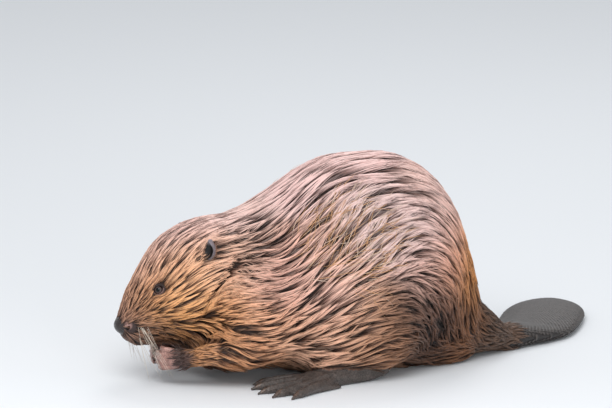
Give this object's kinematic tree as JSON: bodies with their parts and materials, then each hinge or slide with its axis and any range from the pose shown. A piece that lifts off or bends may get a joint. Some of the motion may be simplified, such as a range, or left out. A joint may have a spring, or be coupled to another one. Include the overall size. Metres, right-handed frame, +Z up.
{
  "type": "beaver",
  "caption": "Crouching adult beaver, life size, as a still museum model: hunched back, low head, hands at the mouth, webbed hind feet and flat tail on the floor.",
  "frame": {"origin": "on the floor, under the middle of the whole animal's box, tail included", "axes": "+Z up, the head points to -X, the animal's left side faces -Y and the tail turns to +Y"},
  "size_m": [0.7218, 0.409, 0.2815],
  "materials": {
    "body_fur": "wet guard hair in pointed locks, brown with pale pinkish sheen",
    "face_fur": "short wet fur, tawny brown",
    "nose_leather": "moist bare skin",
    "eye_gloss": "polished, dark",
    "ear_skin": "thin skin with fine short hair",
    "hand_skin": "bare wrinkled skin, wet",
    "foot_skin": "bare scaly webbed skin, wet",
    "tail_scales": "flat leathery scales, satin",
    "claw_horn": "smooth horn, satin",
    "whisker_hair": "stiff pale hair"
  },
  "bodies": {
    "root": {"head": "face_fur", "muzzle": "face_fur", "lower_jaw": "face_fur", "nose": "nose_leather", "eye_left": "eye_gloss", "eye_right": "eye_gloss", "ear_left": "ear_skin", "ear_right": "ear_skin", "neck": "body_fur", "shoulders": "body_fur", "trunk": "body_fur", "rump": "body_fur", "thigh_left": "body_fur", "thigh_right": "body_fur", "hind_foot_left": "foot_skin", "hind_foot_right": "foot_skin", "upper_arm_left": "body_fur", "upper_arm_right": "body_fur", "forearm_left": "body_fur", "forearm_right": "body_fur", "hand_left": "hand_skin", "hand_right": "hand_skin", "tail_root": "body_fur", "tail_blade": "tail_scales"}
  },
  "joints": []
}
